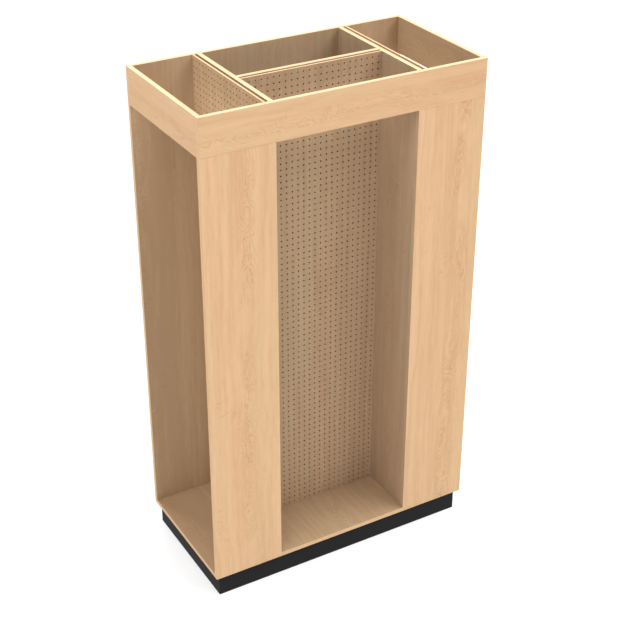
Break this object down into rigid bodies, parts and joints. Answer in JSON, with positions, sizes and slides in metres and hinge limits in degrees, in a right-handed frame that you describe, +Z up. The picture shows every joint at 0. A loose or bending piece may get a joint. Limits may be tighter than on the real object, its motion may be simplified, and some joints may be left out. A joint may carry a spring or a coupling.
{
  "type": "pegboard display stand",
  "caption": "Tall open-topped maple display case on a recessed black base, with a pegboard-backed bay in the front and in each side, and a solid rear panel.",
  "frame": {"origin": "on the floor, under the middle of the case", "axes": "+X to the right along the 48 in width, +Y from the front opening towards the solid rear panel, +Z up"},
  "size_m": [1.2192, 0.6096, 2.1336],
  "materials": {
    "maple": "light maple laminate panel, satin, with soft pink-tan figure",
    "pegboard": "maple-faced perforated board, satin",
    "black_laminate": "black laminate over board, satin",
    "bare_wood": "unfinished softwood and dowel",
    "zinc": "zinc-plated steel",
    "nylon": "black nylon foot on a screwed stem"
  },
  "bodies": {
    "stand": {"front_header": "maple", "front_left_stile": "maple", "front_right_stile": "maple", "rear_panel": "maple", "left_header": "maple", "right_header": "maple", "deck": "maple", "left_divider": "maple", "right_divider": "maple", "centre_divider": "maple", "centre_pegboard": "pegboard", "left_pegboard": "pegboard", "right_pegboard": "pegboard", "centre_batten_1": "bare_wood", "left_batten_1": "bare_wood", "right_batten_1": "bare_wood", "centre_batten_2": "bare_wood", "left_batten_2": "bare_wood", "right_batten_2": "bare_wood", "centre_batten_3": "bare_wood", "left_batten_3": "bare_wood", "right_batten_3": "bare_wood", "centre_batten_4": "bare_wood", "left_batten_4": "bare_wood", "right_batten_4": "bare_wood", "base_front_rail": "black_laminate", "base_rear_rail": "black_laminate", "base_left_rail": "black_laminate", "base_right_rail": "black_laminate", "base_left_cross_rail": "bare_wood", "base_right_cross_rail": "bare_wood", "base_front_cleat": "bare_wood", "base_rear_cleat": "bare_wood", "left_outer_dowel": "bare_wood", "left_inner_dowel": "bare_wood", "right_outer_dowel": "bare_wood", "right_inner_dowel": "bare_wood", "front_deck_screw_1": "zinc", "front_deck_screw_2": "zinc", "front_deck_screw_3": "zinc", "front_left_block": "bare_wood", "front_left_insert": "zinc", "front_right_block": "bare_wood", "front_right_insert": "zinc", "rear_deck_screw_1": "zinc", "rear_deck_screw_2": "zinc", "rear_deck_screw_3": "zinc", "rear_left_block": "bare_wood", "rear_left_insert": "zinc", "rear_right_block": "bare_wood", "rear_right_insert": "zinc"},
    "front_left_glide": {"front_left_glide": "nylon"},
    "front_right_glide": {"front_right_glide": "nylon"},
    "rear_left_glide": {"rear_left_glide": "nylon"},
    "rear_right_glide": {"rear_right_glide": "nylon"}
  },
  "joints": [
    {"name": "front_left_glide_travel", "type": "slide", "parent": "stand", "child": "front_left_glide", "axis": [0, 0, -1], "range_m": [0, 0.019]},
    {"name": "front_right_glide_travel", "type": "slide", "parent": "stand", "child": "front_right_glide", "axis": [0, 0, -1], "range_m": [0, 0.019]},
    {"name": "rear_left_glide_travel", "type": "slide", "parent": "stand", "child": "rear_left_glide", "axis": [0, 0, -1], "range_m": [0, 0.019]},
    {"name": "rear_right_glide_travel", "type": "slide", "parent": "stand", "child": "rear_right_glide", "axis": [0, 0, -1], "range_m": [0, 0.019]}
  ]
}
